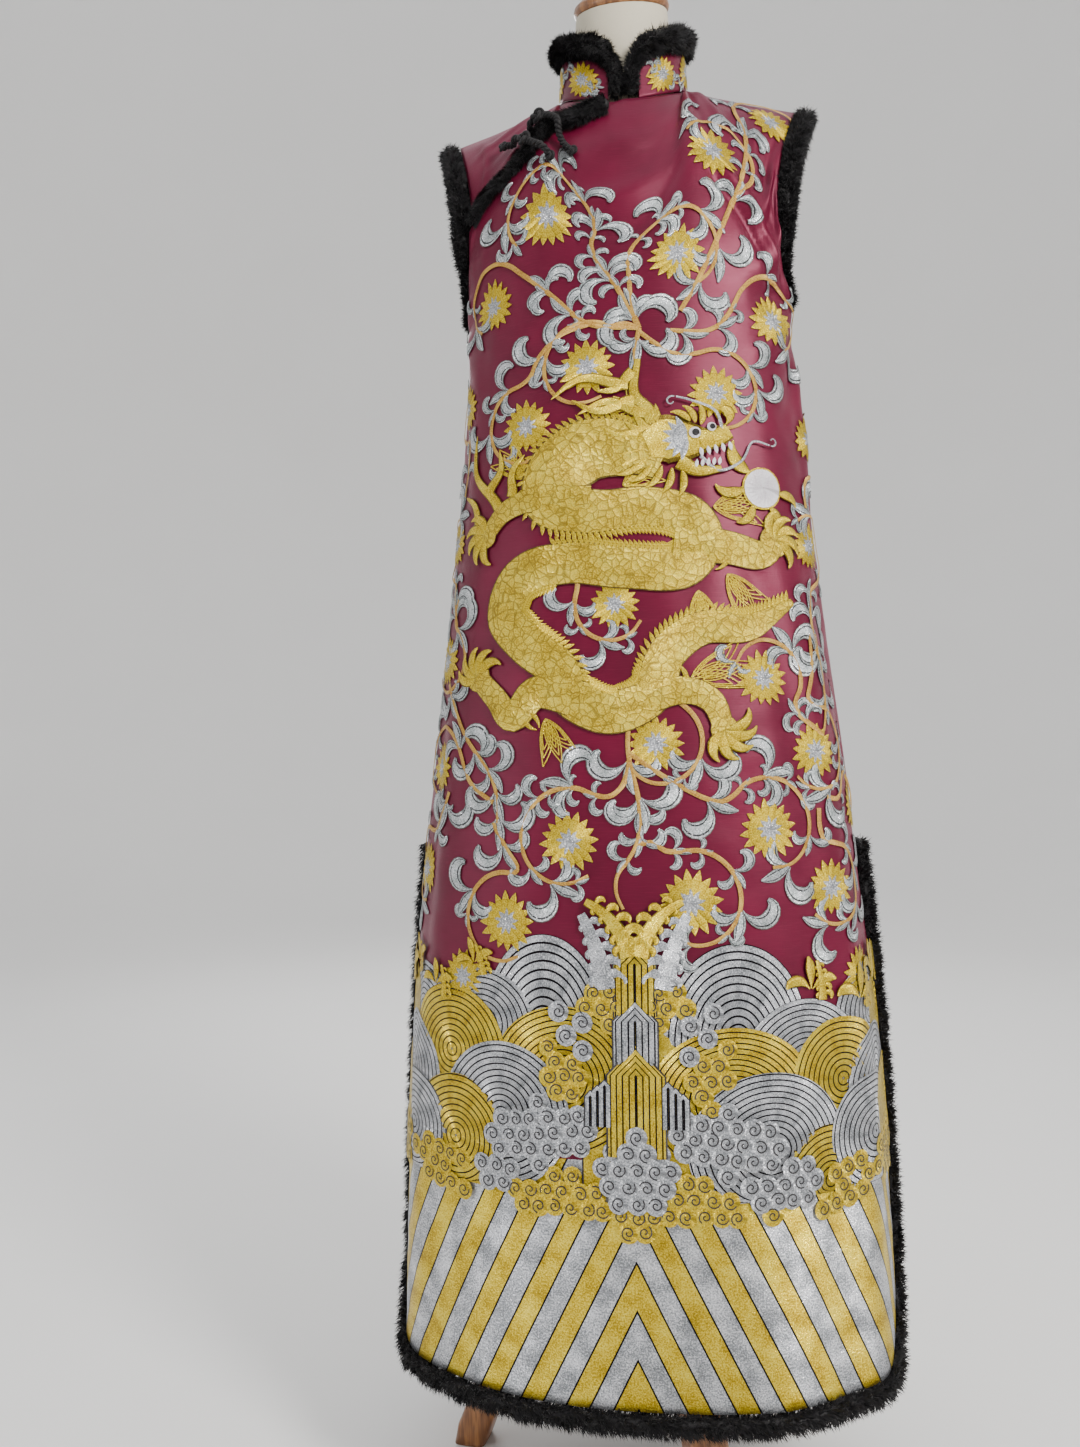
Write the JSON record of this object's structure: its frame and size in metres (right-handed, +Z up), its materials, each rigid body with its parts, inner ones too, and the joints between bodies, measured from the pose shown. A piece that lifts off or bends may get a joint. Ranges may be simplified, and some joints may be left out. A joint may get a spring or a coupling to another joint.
{
  "type": "cheongsam on a dress form",
  "caption": "Long sleeveless padded cheongsam in embroidered satin with fur edging, standing collar, slanting front opening and side slits, worn by a limbless dress form on a tripod stand.",
  "frame": {"origin": "centre of the part's outline on the floor, under the stand's post", "axes": "+Z up, the garment's front faces -Y, +X is the wearer's left"},
  "size_m": [0.5191, 0.4058, 1.5759],
  "materials": {
    "satin": "burgundy satin with gold and silver thread embroidery",
    "fur": "short dense black fur",
    "cord": "black twisted cord",
    "form_cloth": "ivory stretched cloth",
    "wood": "brown varnished wood"
  },
  "bodies": {
    "root": {"front_panel": "satin", "front_yoke": "satin", "back_panel": "satin", "stand_collar": "satin", "fur_collar": "fur", "fur_opening": "fur", "fur_armhole_left": "fur", "fur_armhole_right": "fur", "fur_hem_front": "fur", "fur_hem_back": "fur", "frog_upper": "cord", "frog_lower": "cord", "form_torso": "form_cloth", "neck_cap": "wood", "stand_column": "wood", "stand_leg_front": "wood", "stand_leg_left": "wood", "stand_leg_right": "wood"}
  },
  "joints": []
}
